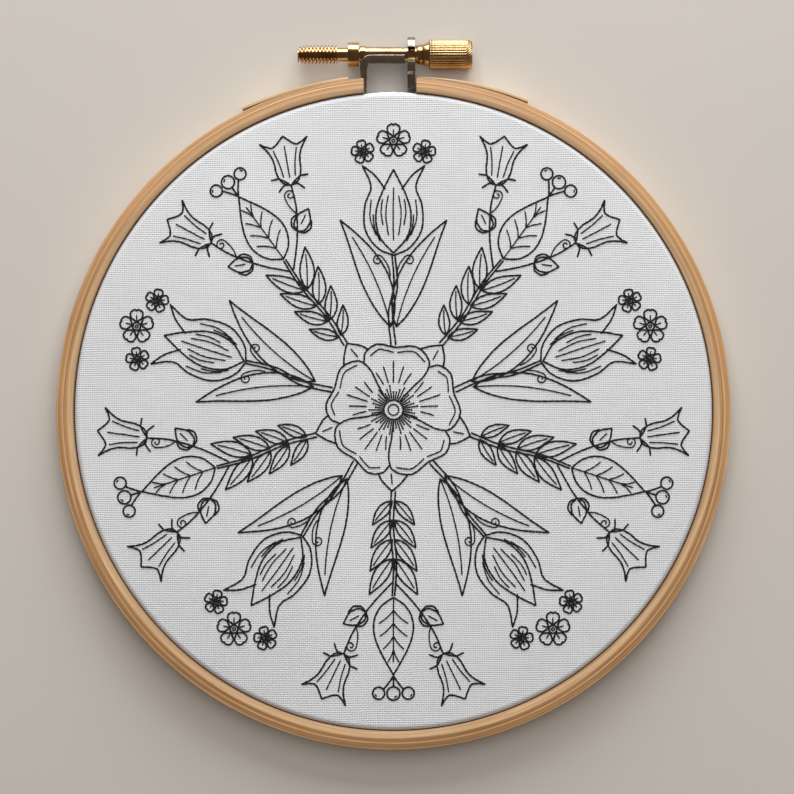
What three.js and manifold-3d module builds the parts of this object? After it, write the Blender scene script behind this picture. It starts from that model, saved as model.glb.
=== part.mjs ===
// Hoop embroidery: a cloth stretched over a closed wooden inner hoop and gripped by a split
// outer hoop, whose ends are drawn together by a brass thumbscrew. It lies on its back, with the
// worked side of the cloth up (+Z) and the screw towards +Y. Millimetres.
import * as THREE from 'three';
import { mergeVertices } from 'three/addons/utils/BufferGeometryUtils.js';
import Module from 'manifold-3d';

const wasm = await Module();
wasm.setup();

// The outer hoop, an eight-inch one. Its outer circle sits a little lower than its inner one,
// so the bent wood is thinner near the split than at the foot.
const CLEARANCE = 0.3;
const HOOP_DEPTH = 10;
const GRIP_RADIUS = 100;
const RIM_THICKNESS = 5.5;
const RIM_SHIFT = 0.4;
const RIM_FRONT_INSIDE = { width: 0.9, drop: 0.9 };
const RIM_FRONT_OUTSIDE = { width: 3.4, drop: 1.8 };
const RIM_BACK = { width: 0.8, drop: 0.8 };
const SPLIT_LEFT = -9.36;
const SPLIT_RIGHT = 7.17;
const RING_SEGMENTS = 96;
const WIDE_ROUND_STEPS = 5;
const SMALL_ROUND_STEPS = 3;
const BACK_ROUND_STEPS = 2;

// The cloth, drawn over the inner hoop and down between the two hoops.
const CLOTH_THICKNESS = 1;
const CLOTH_FRONT = 9.7;
const CLOTH_ROUND = 1.6;
const CLOTH_EDGE_HEIGHT = 0.6;

// The inner hoop, hidden behind the cloth.
const INNER_HOOP_THICKNESS = 4.8;
const INNER_HOOP_FRONT = { width: 1.3, drop: 1.3 };
const INNER_HOOP_BACK = { width: 0.8, drop: 0.8 };

// Thin veneer laps on the outside of the rim. Angles are clockwise from the screw, in degrees,
// and a lap springs away from the rim towards its free end.
const LAP_INSET = 0.6;
const LAP_STEP = 2;
const LAPS = [
  { name: 'lap_left_far', fixed: -16.1, free: -26.6, thickness: 0.7, lift: 0.55 },
  { name: 'lap_left_near', fixed: -7.8, free: -15.7, thickness: 0.55, lift: 0 },
  { name: 'lap_right', fixed: 4.2, free: 23.5, thickness: 0.65, lift: 0.5 },
];

// The screw line runs along X, above the split.
const SCREW_Y = 112.5;
const SCREW_Z = HOOP_DEPTH / 2;
const ROD_RADIUS = 2.45;
const TURNED_SIDES = 24;
const THREAD = { left: -30.2, right: -17.7, crests: 11, root: 2.4, crest: 3.0 };
const NECK_RADIUS = 2.15;
const COLLAR = { left: -10.6, right: -8.9, radius: 2.8 };
const CONE = { left: 7.2, right: 11.5, small: 2.9, large: 4.05 };
const HEAD = { right: 24.8, radius: 4.65, ridges: 36, ridgeDepth: 0.35, bevel: 0.4 };
const NUT = { left: -14.5, right: -10.9, radius: 3.9 };

// Left bracket: a foot plate on the left end of the rim and two angled flanges, one in front of
// the screw and one behind it.
const FOOT_THICKNESS = 0.6;
const FOOT_INNER_END = 100.9;
const FOOT_OUTER_END = 107.6;
const FLANGE_THICKNESS = 0.8;
const FLANGE_HALF_SPREAD = 4;
const WEB = { bottom: 109.05, top: 111.85, right: 3.7, outerCorner: 3.4, innerCorner: 0.9 };
const LEG = { left: -10.6, narrowLeft: -9.9, right: -8.46, shoulder: 107, toe: 105.2, heel: 104.9 };

// Right bracket: an upright steel fork on the right end of the rim. It is open to the front, the
// rod lies in its slot, and below its shoulders it is narrower.
const FORK = { left: 4.4, right: 6.87, foot: 101.2, top: 118.05, halfWidth: 4.7 };
const FORK_STEM = { halfWidth: 3.3, top: 105.7, shoulder: 106.5 };

const WOOD = { color: 0xc49a6c, roughness: 0.62, metalness: 0 };
const PALE_WOOD = { color: 0xd0ab80, roughness: 0.66, metalness: 0 };
const LINEN = { color: 0xe3e5e6, roughness: 0.95, metalness: 0 };
const BRASS = { color: 0xb98d45, roughness: 0.3, metalness: 1 };
const STEEL = { color: 0x8b857c, roughness: 0.35, metalness: 1 };

function arc(centreX, centreY, radius, fromDegrees, toDegrees, steps, radiusY = radius) {
  const points = [];
  for (let i = 0; i <= steps; i += 1) {
    const angle = THREE.MathUtils.degToRad(fromDegrees + ((toDegrees - fromDegrees) * i) / steps);
    const x = centreX + radius * Math.cos(angle);
    const y = centreY + radiusY * Math.sin(angle);
    points.push(new THREE.Vector2(x, y));
  }
  return points;
}

// A rounded corner of a ring's section, a quarter turn anticlockwise from startDegrees.
function corner(centreX, centreY, { width, drop }, startDegrees, steps) {
  return arc(centreX, centreY, width, startDegrees, startDegrees + 90, steps, drop);
}

// A ring's section, as (radius, height) points going up its outer side.
function ringSection({ inner, outer, top, frontInside, frontOutside, back }) {
  const outerFront = [outer - frontOutside.width, top - frontOutside.drop];
  const innerFront = [inner + frontInside.width, top - frontInside.drop];
  const section = [
    ...corner(outer - back.width, back.drop, back, -90, BACK_ROUND_STEPS),
    ...corner(...outerFront, frontOutside, 0, WIDE_ROUND_STEPS),
    ...corner(...innerFront, frontInside, 90, SMALL_ROUND_STEPS),
    ...corner(inner + back.width, back.drop, back, 180, BACK_ROUND_STEPS),
  ];
  return [...section, section[0].clone()];
}

// Turns a profile of (radius, height) points about Z.
function turnAboutZ(profile) {
  return new THREE.LatheGeometry(profile, RING_SEGMENTS).rotateX(Math.PI / 2);
}

// Turns a profile of (radius, x) points about X.
function turnAboutX(profile) {
  return new THREE.LatheGeometry(profile, TURNED_SIDES).rotateZ(-Math.PI / 2);
}

function toSolid(geometry) {
  const bare = geometry.clone();
  bare.deleteAttribute('normal');
  bare.deleteAttribute('uv');
  const merged = mergeVertices(bare);
  const vertProperties = new Float32Array(merged.attributes.position.array);
  const count = merged.attributes.position.count;
  const triVerts = new Uint32Array(merged.index ? merged.index.array : Array(count).keys());
  return new wasm.Manifold(new wasm.Mesh({ numProp: 3, vertProperties, triVerts }));
}

function toGeometry(solid) {
  const { vertProperties, triVerts } = solid.getMesh();
  const geometry = new THREE.BufferGeometry();
  geometry.setAttribute('position', new THREE.BufferAttribute(vertProperties, 3));
  geometry.setIndex(new THREE.BufferAttribute(triVerts, 1));
  geometry.computeVertexNormals();
  return geometry;
}

function box(low, high) {
  const geometry = new THREE.BoxGeometry(high.x - low.x, high.y - low.y, high.z - low.z);
  return geometry.translate((low.x + high.x) / 2, (low.y + high.y) / 2, (low.z + high.z) / 2);
}

function extrude(outline, depth) {
  return new THREE.ExtrudeGeometry(new THREE.Shape(outline), { depth, bevelEnabled: false });
}

// Slides each point towards -Y by its share of the way through the rim.
function thinTowardsSplit(geometry) {
  const position = geometry.attributes.position;
  for (let i = 0; i < position.count; i += 1) {
    const radius = Math.hypot(position.getX(i), position.getY(i));
    const share = (radius - GRIP_RADIUS) / RIM_THICKNESS;
    position.setY(i, position.getY(i) - RIM_SHIFT * share);
  }
  return geometry;
}

function outerHoop() {
  const ring = thinTowardsSplit(turnAboutZ(ringSection({
    inner: GRIP_RADIUS,
    outer: GRIP_RADIUS + RIM_THICKNESS,
    top: HOOP_DEPTH,
    frontInside: RIM_FRONT_INSIDE,
    frontOutside: RIM_FRONT_OUTSIDE,
    back: RIM_BACK,
  })));
  const split = box(
    new THREE.Vector3(SPLIT_LEFT, 0, -HOOP_DEPTH),
    new THREE.Vector3(SPLIT_RIGHT, 2 * GRIP_RADIUS, 2 * HOOP_DEPTH),
  );
  return toGeometry(toSolid(ring).subtract(toSolid(split)));
}

function cloth() {
  const outer = GRIP_RADIUS - CLEARANCE;
  const inner = outer - CLOTH_THICKNESS;
  const back = CLOTH_FRONT - CLOTH_THICKNESS;
  const insideRound = CLOTH_ROUND - CLOTH_THICKNESS;
  return turnAboutZ([
    new THREE.Vector2(0, back),
    ...arc(inner - insideRound, back - insideRound, insideRound, 90, 0, SMALL_ROUND_STEPS),
    new THREE.Vector2(inner, CLOTH_EDGE_HEIGHT),
    new THREE.Vector2(outer, CLOTH_EDGE_HEIGHT),
    ...arc(outer - CLOTH_ROUND, CLOTH_FRONT - CLOTH_ROUND, CLOTH_ROUND, 0, 90, WIDE_ROUND_STEPS),
    new THREE.Vector2(0, CLOTH_FRONT),
  ]);
}

function innerHoop() {
  const outer = GRIP_RADIUS - CLOTH_THICKNESS - 2 * CLEARANCE;
  return turnAboutZ(ringSection({
    inner: outer - INNER_HOOP_THICKNESS,
    outer,
    top: CLOTH_FRONT - CLOTH_THICKNESS - CLEARANCE,
    frontInside: INNER_HOOP_FRONT,
    frontOutside: INNER_HOOP_FRONT,
    back: INNER_HOOP_BACK,
  }));
}

// A lap follows the rim's outer circle and lifts with the square of the way to its free end.
function lap({ fixed, free, thickness, lift }) {
  const steps = Math.ceil(Math.abs(free - fixed) / LAP_STEP);
  const seat = GRIP_RADIUS + RIM_THICKNESS + CLEARANCE;
  const near = [];
  const far = [];
  for (let i = 0; i <= steps; i += 1) {
    const share = i / steps;
    const angle = THREE.MathUtils.degToRad(fixed + (free - fixed) * share);
    const radius = seat + lift * share * share;
    const direction = new THREE.Vector2(Math.sin(angle), Math.cos(angle));
    near.push(direction.clone().multiplyScalar(radius));
    far.push(direction.clone().multiplyScalar(radius + thickness));
  }
  const outline = [...near, ...far.reverse()];
  return extrude(outline, HOOP_DEPTH - 2 * LAP_INSET).translate(0, -RIM_SHIFT, LAP_INSET);
}

function threadProfile() {
  const { left, right, crests, root, crest } = THREAD;
  const pitch = (right - left) / crests;
  const points = [];
  for (let i = 0; i < crests; i += 1) {
    points.push(new THREE.Vector2(root, left + i * pitch));
    points.push(new THREE.Vector2(crest, left + (i + 0.5) * pitch));
  }
  points.push(new THREE.Vector2(root, right));
  return points;
}

// The head's outline, a circle with a V groove between each two ridges.
function knurlOutline() {
  const points = [];
  for (let i = 0; i < HEAD.ridges * 2; i += 1) {
    const angle = (Math.PI * i) / HEAD.ridges;
    const radius = i % 2 === 0 ? HEAD.radius : HEAD.radius - HEAD.ridgeDepth;
    points.push(new THREE.Vector2(radius * Math.cos(angle), radius * Math.sin(angle)));
  }
  return points;
}

function thumbscrew() {
  const turned = turnAboutX([
    new THREE.Vector2(0, THREAD.left),
    ...threadProfile(),
    new THREE.Vector2(NECK_RADIUS, THREAD.right),
    new THREE.Vector2(NECK_RADIUS, COLLAR.left),
    new THREE.Vector2(COLLAR.radius, COLLAR.left),
    new THREE.Vector2(COLLAR.radius, COLLAR.right),
    new THREE.Vector2(ROD_RADIUS, COLLAR.right),
    new THREE.Vector2(ROD_RADIUS, CONE.left),
    new THREE.Vector2(CONE.small, CONE.left),
    new THREE.Vector2(CONE.large, CONE.right),
    new THREE.Vector2(0, CONE.right),
  ]);
  const start = CONE.right - HEAD.bevel;
  const ridged = extrude(knurlOutline(), HEAD.right - start).rotateY(Math.PI / 2);
  ridged.translate(start, 0, 0);
  const envelope = turnAboutX([
    new THREE.Vector2(0, start),
    new THREE.Vector2(HEAD.radius - HEAD.bevel, start),
    new THREE.Vector2(HEAD.radius + HEAD.bevel, start + 2 * HEAD.bevel),
    new THREE.Vector2(HEAD.radius + HEAD.bevel, HEAD.right - 2 * HEAD.bevel),
    new THREE.Vector2(HEAD.radius - HEAD.bevel, HEAD.right),
    new THREE.Vector2(0, HEAD.right),
  ]);
  const head = toSolid(ridged).intersect(toSolid(envelope));
  return toGeometry(toSolid(turned).add(head));
}

function nut() {
  const bore = NECK_RADIUS + CLEARANCE;
  return turnAboutX([
    new THREE.Vector2(bore, NUT.left),
    new THREE.Vector2(NUT.radius, NUT.left),
    new THREE.Vector2(NUT.radius, NUT.right),
    new THREE.Vector2(bore, NUT.right),
    new THREE.Vector2(bore, NUT.left),
  ]);
}

function flangeOutline() {
  const { bottom, top, right, outerCorner, innerCorner } = WEB;
  const footLeft = LEG.right - FOOT_THICKNESS;
  return [
    new THREE.Vector2(LEG.right, FOOT_INNER_END),
    ...arc(LEG.right + innerCorner, bottom - innerCorner, innerCorner, 180, 90, SMALL_ROUND_STEPS),
    new THREE.Vector2(right, bottom),
    new THREE.Vector2(right, top),
    ...arc(LEG.left + outerCorner, top - outerCorner, outerCorner, 90, 180, WIDE_ROUND_STEPS),
    new THREE.Vector2(LEG.left, LEG.shoulder),
    new THREE.Vector2(LEG.narrowLeft, LEG.toe),
    new THREE.Vector2(footLeft, LEG.heel),
    new THREE.Vector2(footLeft, FOOT_INNER_END),
  ];
}

function leftBracket() {
  const back = SCREW_Z - FLANGE_HALF_SPREAD;
  const front = SCREW_Z + FLANGE_HALF_SPREAD;
  const foot = box(
    new THREE.Vector3(LEG.right - FOOT_THICKNESS, FOOT_INNER_END, back),
    new THREE.Vector3(LEG.right, FOOT_OUTER_END, front),
  );
  const backFlange = extrude(flangeOutline(), FLANGE_THICKNESS).translate(0, 0, back);
  const frontFlange = backFlange.clone().translate(0, 0, front - back - FLANGE_THICKNESS);
  return toGeometry(toSolid(foot).add(toSolid(backFlange)).add(toSolid(frontFlange)));
}

// The fork's outline is drawn with its front towards -X, and then turned to face +Z.
function rightBracket() {
  const { left, right, foot, top, halfWidth } = FORK;
  const slotRadius = ROD_RADIUS + CLEARANCE;
  const roundY = top - halfWidth;
  const prongEnd = 180 - THREE.MathUtils.radToDeg(Math.asin((SCREW_Y + slotRadius - roundY) / halfWidth));
  const outline = [
    new THREE.Vector2(-FORK_STEM.halfWidth, foot),
    new THREE.Vector2(FORK_STEM.halfWidth, foot),
    new THREE.Vector2(FORK_STEM.halfWidth, FORK_STEM.top),
    new THREE.Vector2(halfWidth, FORK_STEM.shoulder),
    ...arc(0, roundY, halfWidth, 0, prongEnd, TURNED_SIDES / 2),
    ...arc(0, SCREW_Y, slotRadius, 90, -90, TURNED_SIDES / 2),
    new THREE.Vector2(-halfWidth, SCREW_Y - slotRadius),
    new THREE.Vector2(-halfWidth, FORK_STEM.shoulder),
    new THREE.Vector2(-FORK_STEM.halfWidth, FORK_STEM.top),
  ];
  return extrude(outline, right - left).rotateY(Math.PI / 2).translate(left, 0, SCREW_Z);
}

function piece(name, geometry, finish) {
  const mesh = new THREE.Mesh(geometry, new THREE.MeshStandardMaterial(finish));
  mesh.name = name;
  return mesh;
}

const hoops = new THREE.Group();
hoops.add(piece('outer_hoop', outerHoop(), WOOD));
hoops.add(piece('inner_hoop', innerHoop(), PALE_WOOD));
hoops.add(piece('cloth', cloth(), LINEN));
for (const row of LAPS) {
  hoops.add(piece(row.name, lap(row), WOOD));
}

const brackets = new THREE.Group();
brackets.add(piece('left_bracket', leftBracket(), STEEL));
brackets.add(piece('right_bracket', rightBracket(), STEEL));

const screwLine = new THREE.Group();
screwLine.position.set(0, SCREW_Y, SCREW_Z);
screwLine.add(piece('nut', nut(), BRASS));
screwLine.add(piece('thumbscrew', thumbscrew(), BRASS));

// The origin is on the resting plane, under the middle of the whole length.
const group = new THREE.Group();
const lowest = -(GRIP_RADIUS + RIM_THICKNESS + RIM_SHIFT);
const middle = new THREE.Group();
middle.position.y = -(FORK.top + lowest) / 2;
middle.add(hoops, brackets, screwLine);
group.add(middle);

export default group;
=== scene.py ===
# %% [markdown]
# # A hoop embroidery, dressed for the camera
# The construction comes packed: a split wooden hoop, an inner hoop, a cloth, two steel
# brackets and a brass thumbscrew, each at its real size. This lesson gives every piece its
# finish, and models again, more finely, the pieces whose shape shows up close.

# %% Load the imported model
import cmath
import math
import random

import bmesh
import bpy
import numpy as np
from mathutils import Matrix, Vector


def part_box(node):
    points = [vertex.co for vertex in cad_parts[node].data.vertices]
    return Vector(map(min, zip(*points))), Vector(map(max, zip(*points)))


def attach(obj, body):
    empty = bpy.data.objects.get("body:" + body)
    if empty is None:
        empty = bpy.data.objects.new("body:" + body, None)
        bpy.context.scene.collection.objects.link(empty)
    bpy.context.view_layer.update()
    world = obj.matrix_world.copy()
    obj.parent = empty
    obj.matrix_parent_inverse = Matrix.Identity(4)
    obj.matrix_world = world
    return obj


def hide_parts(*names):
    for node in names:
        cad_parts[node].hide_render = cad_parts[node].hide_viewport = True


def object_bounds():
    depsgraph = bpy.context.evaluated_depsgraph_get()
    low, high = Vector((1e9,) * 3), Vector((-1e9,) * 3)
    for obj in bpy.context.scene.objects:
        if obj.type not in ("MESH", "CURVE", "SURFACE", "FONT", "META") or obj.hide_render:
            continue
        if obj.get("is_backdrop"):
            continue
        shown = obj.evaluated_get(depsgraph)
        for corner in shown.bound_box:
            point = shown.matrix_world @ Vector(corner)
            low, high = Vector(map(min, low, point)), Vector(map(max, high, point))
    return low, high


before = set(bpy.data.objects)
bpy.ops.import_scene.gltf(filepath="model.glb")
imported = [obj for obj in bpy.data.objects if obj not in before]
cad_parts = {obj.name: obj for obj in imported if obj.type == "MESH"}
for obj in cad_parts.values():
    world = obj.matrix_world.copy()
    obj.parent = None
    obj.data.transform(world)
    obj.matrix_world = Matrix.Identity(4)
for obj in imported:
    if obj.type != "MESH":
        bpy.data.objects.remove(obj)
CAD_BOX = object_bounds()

print("nodes:", ", ".join(sorted(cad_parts)))

# %% [markdown]
# ## Sizes
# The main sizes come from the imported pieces, so that nothing has to be fitted later.
# Blender works in metres, and a millimetre is handier here, so sizes are written in
# millimetres and multiplied by MM. The hoop's centre isn't the origin, because the screw
# makes the whole thing longer on one side.

# %% Sizes from the frame
MM = 0.001
CLOTH_LOW, CLOTH_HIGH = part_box("cloth")
RIM_LOW, RIM_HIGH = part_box("outer_hoop")
INNER_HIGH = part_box("inner_hoop")[1]
SCREW_LOW, SCREW_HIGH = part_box("thumbscrew")
CENTRE = Vector((0, (CLOTH_LOW.y + CLOTH_HIGH.y) / 2, 0))
CLEARANCE = 0.3 * MM
CLOTH_RADIUS = CLOTH_HIGH.x
GRIP_RADIUS = CLOTH_RADIUS + CLEARANCE
RIM_RADIUS = RIM_HIGH.x
RIM_THICKNESS = RIM_RADIUS - GRIP_RADIUS
RIM_SHIFT = CENTRE.y - RIM_RADIUS - RIM_LOW.y
DEPTH = RIM_HIGH.z
CLOTH_FRONT = CLOTH_HIGH.z
SCREW_LINE = Vector((0, (SCREW_LOW.y + SCREW_HIGH.y) / 2, (SCREW_LOW.z + SCREW_HIGH.z) / 2))
AXIS_X = Vector((1, 0, 0))
AXIS_Z = Vector((0, 0, 1))
print(f"grip radius {GRIP_RADIUS / MM:.2f} mm, rim {RIM_THICKNESS / MM:.2f} mm thick, "
      f"shifted {RIM_SHIFT / MM:.2f} mm")

# %% [markdown]
# ## Camera
# The photograph looks almost straight down on the hoop, which lies on a table. A long lens
# 70 cm away gives the same flat view. Its focal length follows from how wide a strip fills
# the picture.

# %% Camera
VIEW_WIDTH = 248.2 * MM
CAMERA_DISTANCE = 700 * MM
CAMERA_TILT = math.radians(2)
TARGET = Vector((1.1 * MM, CENTRE.y + 4.0 * MM, CLOTH_FRONT))
SENSOR = 36

camera_data = bpy.data.cameras.new("camera")
camera_data.sensor_width = SENSOR
camera_data.lens = SENSOR * CAMERA_DISTANCE / VIEW_WIDTH
camera = bpy.data.objects.new("camera", camera_data)
bpy.context.scene.collection.objects.link(camera)
away = Vector((0, -math.sin(CAMERA_TILT), math.cos(CAMERA_TILT)))
camera.location = TARGET + CAMERA_DISTANCE * away
camera.rotation_euler = (-away).to_track_quat("-Z", "Y").to_euler()
bpy.context.scene.camera = camera
print(f"lens {camera_data.lens:.0f} mm, {math.degrees(CAMERA_TILT):.0f} degrees off straight down")

# %% [markdown]
# ## Light
# The light in the photograph is a window above the picture. The cloth is a little brighter
# at the top, and the upper third of each brass part is cream where its lower half is nearly
# black. So the window is wide and low, on the screw's side, and the room behind the camera
# is dark and warm. A white ceiling fills in from above. It is left out of reflections,
# which would otherwise make the metal look like plaster.

# %% Light and sky
LIGHTS = [
    # (name, place in metres, width and height in metres, watts, colour, seen in reflections)
    ("window", (0.10, 1.25, 0.50), (1.4, 0.95), 24, (1.0, 1.0, 0.995), True),
    ("ceiling", (0.05, 0.30, 1.20), (1.2, 1.2), 8.5, (1.0, 0.99, 0.975), False),
]
SKY_COLOUR = (0.085, 0.064, 0.048, 1)


def area_light(name, place, size, power, colour, reflected):
    """A rectangle of light that faces the origin."""
    light = bpy.data.lights.new(name, "AREA")
    light.shape = "RECTANGLE"
    light.size, light.size_y = size
    light.energy = power
    light.color = colour
    lamp = bpy.data.objects.new(name, light)
    lamp.location = place
    lamp.visible_glossy = reflected
    lamp.rotation_euler = (-Vector(place)).to_track_quat("-Z", "Y").to_euler()
    bpy.context.scene.collection.objects.link(lamp)


for row in LIGHTS:
    area_light(*row)

sky = bpy.data.worlds.new("sky")
sky.use_nodes = True
background = sky.node_tree.nodes["Background"]
background.inputs["Color"].default_value = SKY_COLOUR
background.inputs["Strength"].default_value = 1.0
bpy.context.scene.world = sky
bpy.context.scene.view_settings.view_transform = "Standard"
print("one window, one ceiling and one dim sky")

# %% [markdown]
# ## Shader maths in Python
# A material is a formula, and a formula reads best as one. `Value` wraps a socket, so that
# Python's own operators add Math nodes, and `Finish` makes one material and any other node.
# Settings are set before sockets, because some of them decide which sockets there are.

# %% A small class for shader maths
class Value:
    def __init__(self, finish, socket):
        self.finish = finish
        self.socket = socket

    def maths(self, operation, *others):
        return self.finish.node("ShaderNodeMath", [self, *others], operation=operation)

    def __add__(self, other):
        return self.maths("ADD", other)

    def __mul__(self, other):
        return self.maths("MULTIPLY", other)

    def __sub__(self, other):
        return self.maths("SUBTRACT", other)

    def __rsub__(self, other):
        return (self * -1) + other

    def __truediv__(self, other):
        return self.maths("DIVIDE", other)

    def __pow__(self, other):
        return self.maths("POWER", other)

    def __gt__(self, other):
        return self.maths("GREATER_THAN", other)

    __radd__ = __add__
    __rmul__ = __mul__

    def fraction(self):
        return self.maths("FRACT")

    def whole(self):
        return self.maths("FLOOR")

    def sine(self):
        return self.maths("SINE")

    def clamped(self, low=0.0, high=1.0):
        return self.maths("MAXIMUM", low).maths("MINIMUM", high)

    def fade(self, start, stop):
        """0 before start, 1 after stop, and smooth between them."""
        sockets = {"Value": self, "From Min": start, "From Max": stop}
        return self.finish.node("ShaderNodeMapRange", sockets, interpolation_type="SMOOTHSTEP")


class Finish:
    """One material, with its Principled shader's constants set directly."""

    def __init__(self, name, **constants):
        self.material = bpy.data.materials.new(name)
        self.material.use_nodes = True
        self.tree = self.material.node_tree
        self.shader = self.tree.nodes["Principled BSDF"]
        for socket, constant in constants.items():
            self.shader.inputs[socket.replace("_", " ").title()].default_value = constant

    def feed(self, socket, value):
        if isinstance(value, Value):
            self.tree.links.new(value.socket, socket)
        else:
            socket.default_value = value

    def node(self, kind, sockets=(), output=0, stops=(), **settings):
        node = self.tree.nodes.new(kind)
        for setting, choice in settings.items():
            setattr(node, setting, choice)
        if stops:
            ramp = node.color_ramp
            while len(ramp.elements) < len(stops):
                ramp.elements.new(1.0)
            for element, (place, colour) in zip(ramp.elements, stops):
                element.position = place
                element.color = (*colour, 1)
        named = sockets.items() if isinstance(sockets, dict) else enumerate(sockets)
        for key, value in named:
            self.feed(node.inputs[key], value)
        return Value(self, node.outputs[output])

    def parts(self, vector):
        return [self.node("ShaderNodeSeparateXYZ", [vector], output=i) for i in range(3)]

    def vector(self, x, y, z):
        return self.node("ShaderNodeCombineXYZ", [x, y, z])

    def millimetres(self, centre=(0, 0, 0)):
        """The place on the piece in millimetres from centre, as x, y and z."""
        place = self.node("ShaderNodeTexCoord", output=3)
        offset = [-c / MM for c in centre]
        sockets = {"Vector": place, "Location": offset, "Scale": [1 / MM] * 3}
        return self.parts(self.node("ShaderNodeMapping", sockets, vector_type="POINT"))

    def unrolled(self, name):
        """A UV map in metres, as x and y in millimetres."""
        x, y, _ = self.parts(self.node("ShaderNodeUVMap", uv_map=name))
        return x / MM, y / MM

    def noise(self, x, y, z, w=0.0, scale=1.0, detail=2.0, roughness=0.5):
        sockets = {"Vector": self.vector(x, y, z), "W": w, "Scale": scale,
                   "Detail": detail, "Roughness": roughness}
        return self.node("ShaderNodeTexNoise", sockets, noise_dimensions="4D")

    def ramp(self, value, stops):
        return self.node("ShaderNodeValToRGB", [value], stops=stops)

    def blend(self, share, first, second, kind="MIX"):
        """Two colours mixed, where 0, 6 and 7 are the node's factor and colour sockets."""
        sockets = {0: share, 6: self.colour(first), 7: self.colour(second)}
        return self.node("ShaderNodeMix", sockets, output=2, data_type="RGBA", blend_type=kind)

    def colour(self, value):
        return value if isinstance(value, Value) else (*value, 1)

    def shade(self, colour, amount):
        """A colour times a number."""
        return self.node("ShaderNodeVectorMath", {0: colour, "Scale": amount}, operation="SCALE")

    def relief(self, height, depth, strength=1.0):
        """Bumps of the given depth in metres, where height runs from 0 to 1."""
        sockets = {"Height": height, "Distance": depth, "Strength": strength}
        self.feed(self.shader.inputs["Normal"], self.node("ShaderNodeBump", sockets))

    def dress(self, colour, roughness=None):
        self.feed(self.shader.inputs["Base Color"], colour)
        if roughness is not None:
            self.feed(self.shader.inputs["Roughness"], roughness)
        return self.material


print("shader tools are ready")

# %% [markdown]
# ## Floor
# The hoop lies on a plain pale floor, which isn't part of it.

# %% Floor
FLOOR_REACH = 1.5


def floor_finish():
    floor = Finish("pale_floor", roughness=0.85)
    x, y, z = floor.millimetres()
    cloudy = floor.noise(x, y, z, scale=0.01, detail=3)
    return floor.dress(floor.blend(cloudy, (0.60, 0.565, 0.52), (0.64, 0.605, 0.56)))


shape = bmesh.new()
bmesh.ops.create_grid(shape, x_segments=1, y_segments=1, size=FLOOR_REACH)
floor_mesh = bpy.data.meshes.new("floor")
shape.to_mesh(floor_mesh)
shape.free()
floor = bpy.data.objects.new("floor", floor_mesh)
floor_mesh.materials.append(floor_finish())
bpy.context.scene.collection.objects.link(floor)
floor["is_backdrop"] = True
print(f"floor {2 * FLOOR_REACH:.0f} m wide at z 0")

# %% [markdown]
# ## From a bmesh to a piece
# Every piece ends in the same way: its faces are turned outwards, its normals are smoothed
# up to an edge angle, and it rides on one of the two bodies. `piece` does that, and prints
# how many triangles the piece has. Most pieces also start in the same way, as a section
# of edges, whose corners are rounded before it is spun.

# %% Finishing a piece
SHARP = math.radians(38)
TOUCHING = 0.0005 * MM


def piece(name, shape, finish, body="hoop", replaces=(), sharp=SHARP):
    bmesh.ops.recalc_face_normals(shape, faces=shape.faces)
    mesh = bpy.data.meshes.new(name)
    shape.to_mesh(mesh)
    shape.free()
    mesh.shade_smooth()
    mesh.set_sharp_from_angle(angle=sharp)
    mesh.materials.append(finish)
    made = bpy.data.objects.new(name, mesh)
    bpy.context.scene.collection.objects.link(made)
    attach(made, body)
    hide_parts(*replaces)
    print(f"{name}: {sum(len(f.vertices) - 2 for f in mesh.polygons)} triangles")
    return made


def rounded(shape, corners, radius, segments=3, affect="VERTICES", **kind):
    """Rounds the corners of a wire, or with affect="EDGES" the edges of a solid."""
    bmesh.ops.bevel(shape, geom=corners, offset=radius, segments=segments, profile=0.5,
                    affect=affect, material=-1, **kind)


def wire(shape, points, closed=True):
    """A line of edges through points, and its vertices."""
    corners = [shape.verts.new(p) for p in points]
    pairs = list(zip(corners, corners[1:]))
    if closed:
        pairs.append((corners[-1], corners[0]))
    for pair in pairs:
        shape.edges.new(pair)
    return corners


def section(shape, rows, segments=3, closed=True):
    """A wire through rows of (point, rounding), with its corners rounded."""
    corners = wire(shape, [point for point, _ in rows], closed)
    for corner, (_, rounding) in zip(corners, rows):
        if rounding:
            rounded(shape, [corner], rounding, segments)


def spun(shape, centre, axis, steps):
    """Spins everything in shape a whole turn and closes the seam and the poles."""
    bmesh.ops.spin(shape, geom=shape.verts[:] + shape.edges[:], cent=centre, axis=axis,
                   angle=math.tau, steps=steps, use_merge=True)
    bmesh.ops.remove_doubles(shape, verts=shape.verts, dist=TOUCHING)
    return shape


def sliced(shape, point, facing, **cut):
    """Cuts shape at a plane."""
    bmesh.ops.bisect_plane(shape, geom=shape.verts[:] + shape.edges[:] + shape.faces[:],
                           dist=TOUCHING, plane_co=point, plane_no=facing, **cut)


print("piece tools are ready")
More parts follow.
